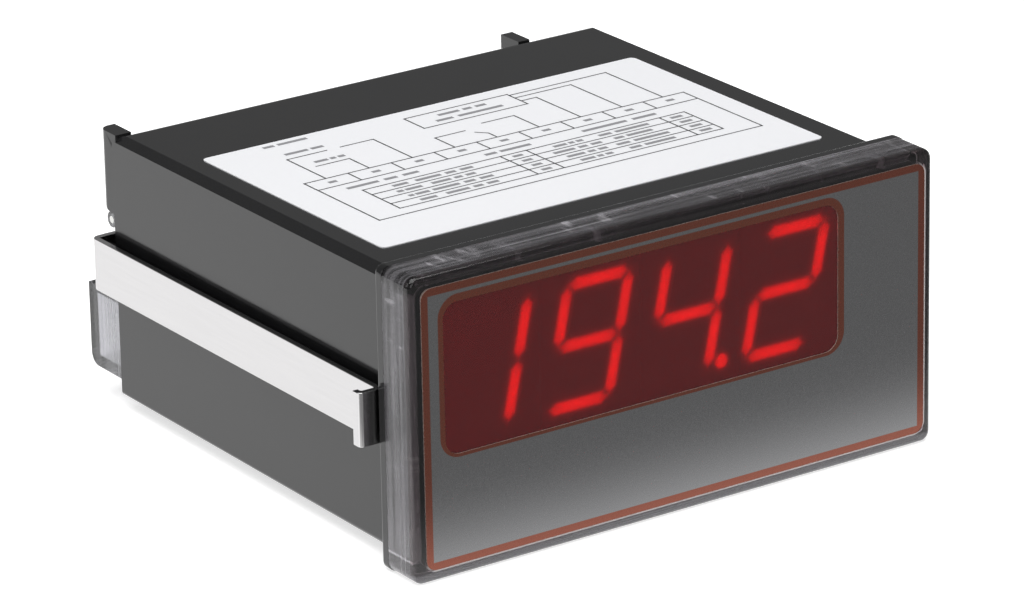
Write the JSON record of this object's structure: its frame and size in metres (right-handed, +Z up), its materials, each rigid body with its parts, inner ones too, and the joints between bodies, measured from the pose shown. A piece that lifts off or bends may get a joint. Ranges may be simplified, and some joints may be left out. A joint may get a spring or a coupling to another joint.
{
  "type": "digital panel meter",
  "caption": "Panel meter with red LED digits in a clear bezel, a black plastic case, side clamping clips and a hinged clear cover over rear screw terminals.",
  "frame": {"origin": "centre of the panel cut-out, in the plane of the flange's back face that rests on the panel", "axes": "X to the right seen from the front, Y from the front to the back, Z up"},
  "size_m": [0.1018, 0.0976, 0.048],
  "materials": {
    "black_plastic": "smooth glossy moulding",
    "clear_plastic": "clear polished moulding",
    "grey_print": "satin silver-grey print with brown border lines",
    "red_pane": "translucent red filter",
    "digit_body": "dark module face",
    "lit_red": "glowing light guide",
    "dark_lens": "unlit light guide",
    "board_green": "glass-fibre board with green lacquer",
    "chip_black": "moulded epoxy",
    "tinned_metal": "tinned",
    "core_steel": "stacked laminations",
    "bobbin_white": "nylon moulding",
    "winding_tape": "wound and taped",
    "capacitor_sleeve": "shrink sleeve",
    "sink_aluminium": "plain extrusion",
    "terminal_black": "moulded",
    "plated_steel": "zinc plated",
    "clip_steel": "satin plated strip",
    "label_white": "printed paper film"
  },
  "bodies": {
    "case": {"case": "black_plastic", "front_bezel": "clear_plastic", "fascia_film": "grey_print", "red_window": "red_pane", "digit_1": "digit_body", "digit_2": "digit_body", "digit_3": "digit_body", "digit_4": "digit_body", "lit_segments": "lit_red", "dark_segments": "dark_lens", "display_board": "board_green", "main_board": "board_green", "display_driver": "chip_black", "header_block": "chip_black", "controller_chip": "chip_black", "input_coupler": "chip_black", "bridge_rectifier": "chip_black", "regulator": "chip_black", "header_pins": "tinned_metal", "terminal_pins": "tinned_metal", "crystal": "tinned_metal", "transformer_core": "core_steel", "transformer_bobbin": "bobbin_white", "transformer_winding": "winding_tape", "smoothing_capacitor": "capacitor_sleeve", "output_capacitors": "capacitor_sleeve", "heat_sink": "sink_aluminium", "terminal_block": "terminal_black", "terminal_clamps": "plated_steel", "terminal_screws": "plated_steel", "cover_pins": "plated_steel", "top_label": "label_white"},
    "left_clip": {"left_clip": "clip_steel"},
    "right_clip": {"right_clip": "clip_steel"},
    "left_screw": {"left_clip_screw": "plated_steel"},
    "right_screw": {"right_clip_screw": "plated_steel"},
    "cover": {"terminal_cover": "clear_plastic"}
  },
  "joints": [
    {"name": "left_clip_slide", "type": "slide", "parent": "case", "child": "left_clip", "axis": [0, 1, 0], "range_m": [0, 0.003]},
    {"name": "left_screw_turn", "type": "hinge", "parent": "left_clip", "child": "left_screw", "pos_m": [-0.042, 0.0823, 0], "axis": [0, 1, 0], "range_deg": [0, 2160]},
    {"name": "right_clip_slide", "type": "slide", "parent": "case", "child": "right_clip", "axis": [0, 1, 0], "range_m": [0, 0.003]},
    {"name": "right_screw_turn", "type": "hinge", "parent": "right_clip", "child": "right_screw", "pos_m": [0.042, 0.0823, 0], "axis": [0, 1, 0], "range_deg": [0, 2160]},
    {"name": "cover_hinge", "type": "hinge", "parent": "case", "child": "cover", "pos_m": [0, 0.08035, 0.0071], "axis": [1, 0, 0], "range_deg": [0, 90]}
  ],
  "couplings": [
    {"joint": "left_screw_turn", "follows": "left_clip_slide", "rad_per_m": 12566},
    {"joint": "right_screw_turn", "follows": "right_clip_slide", "rad_per_m": 12566}
  ]
}
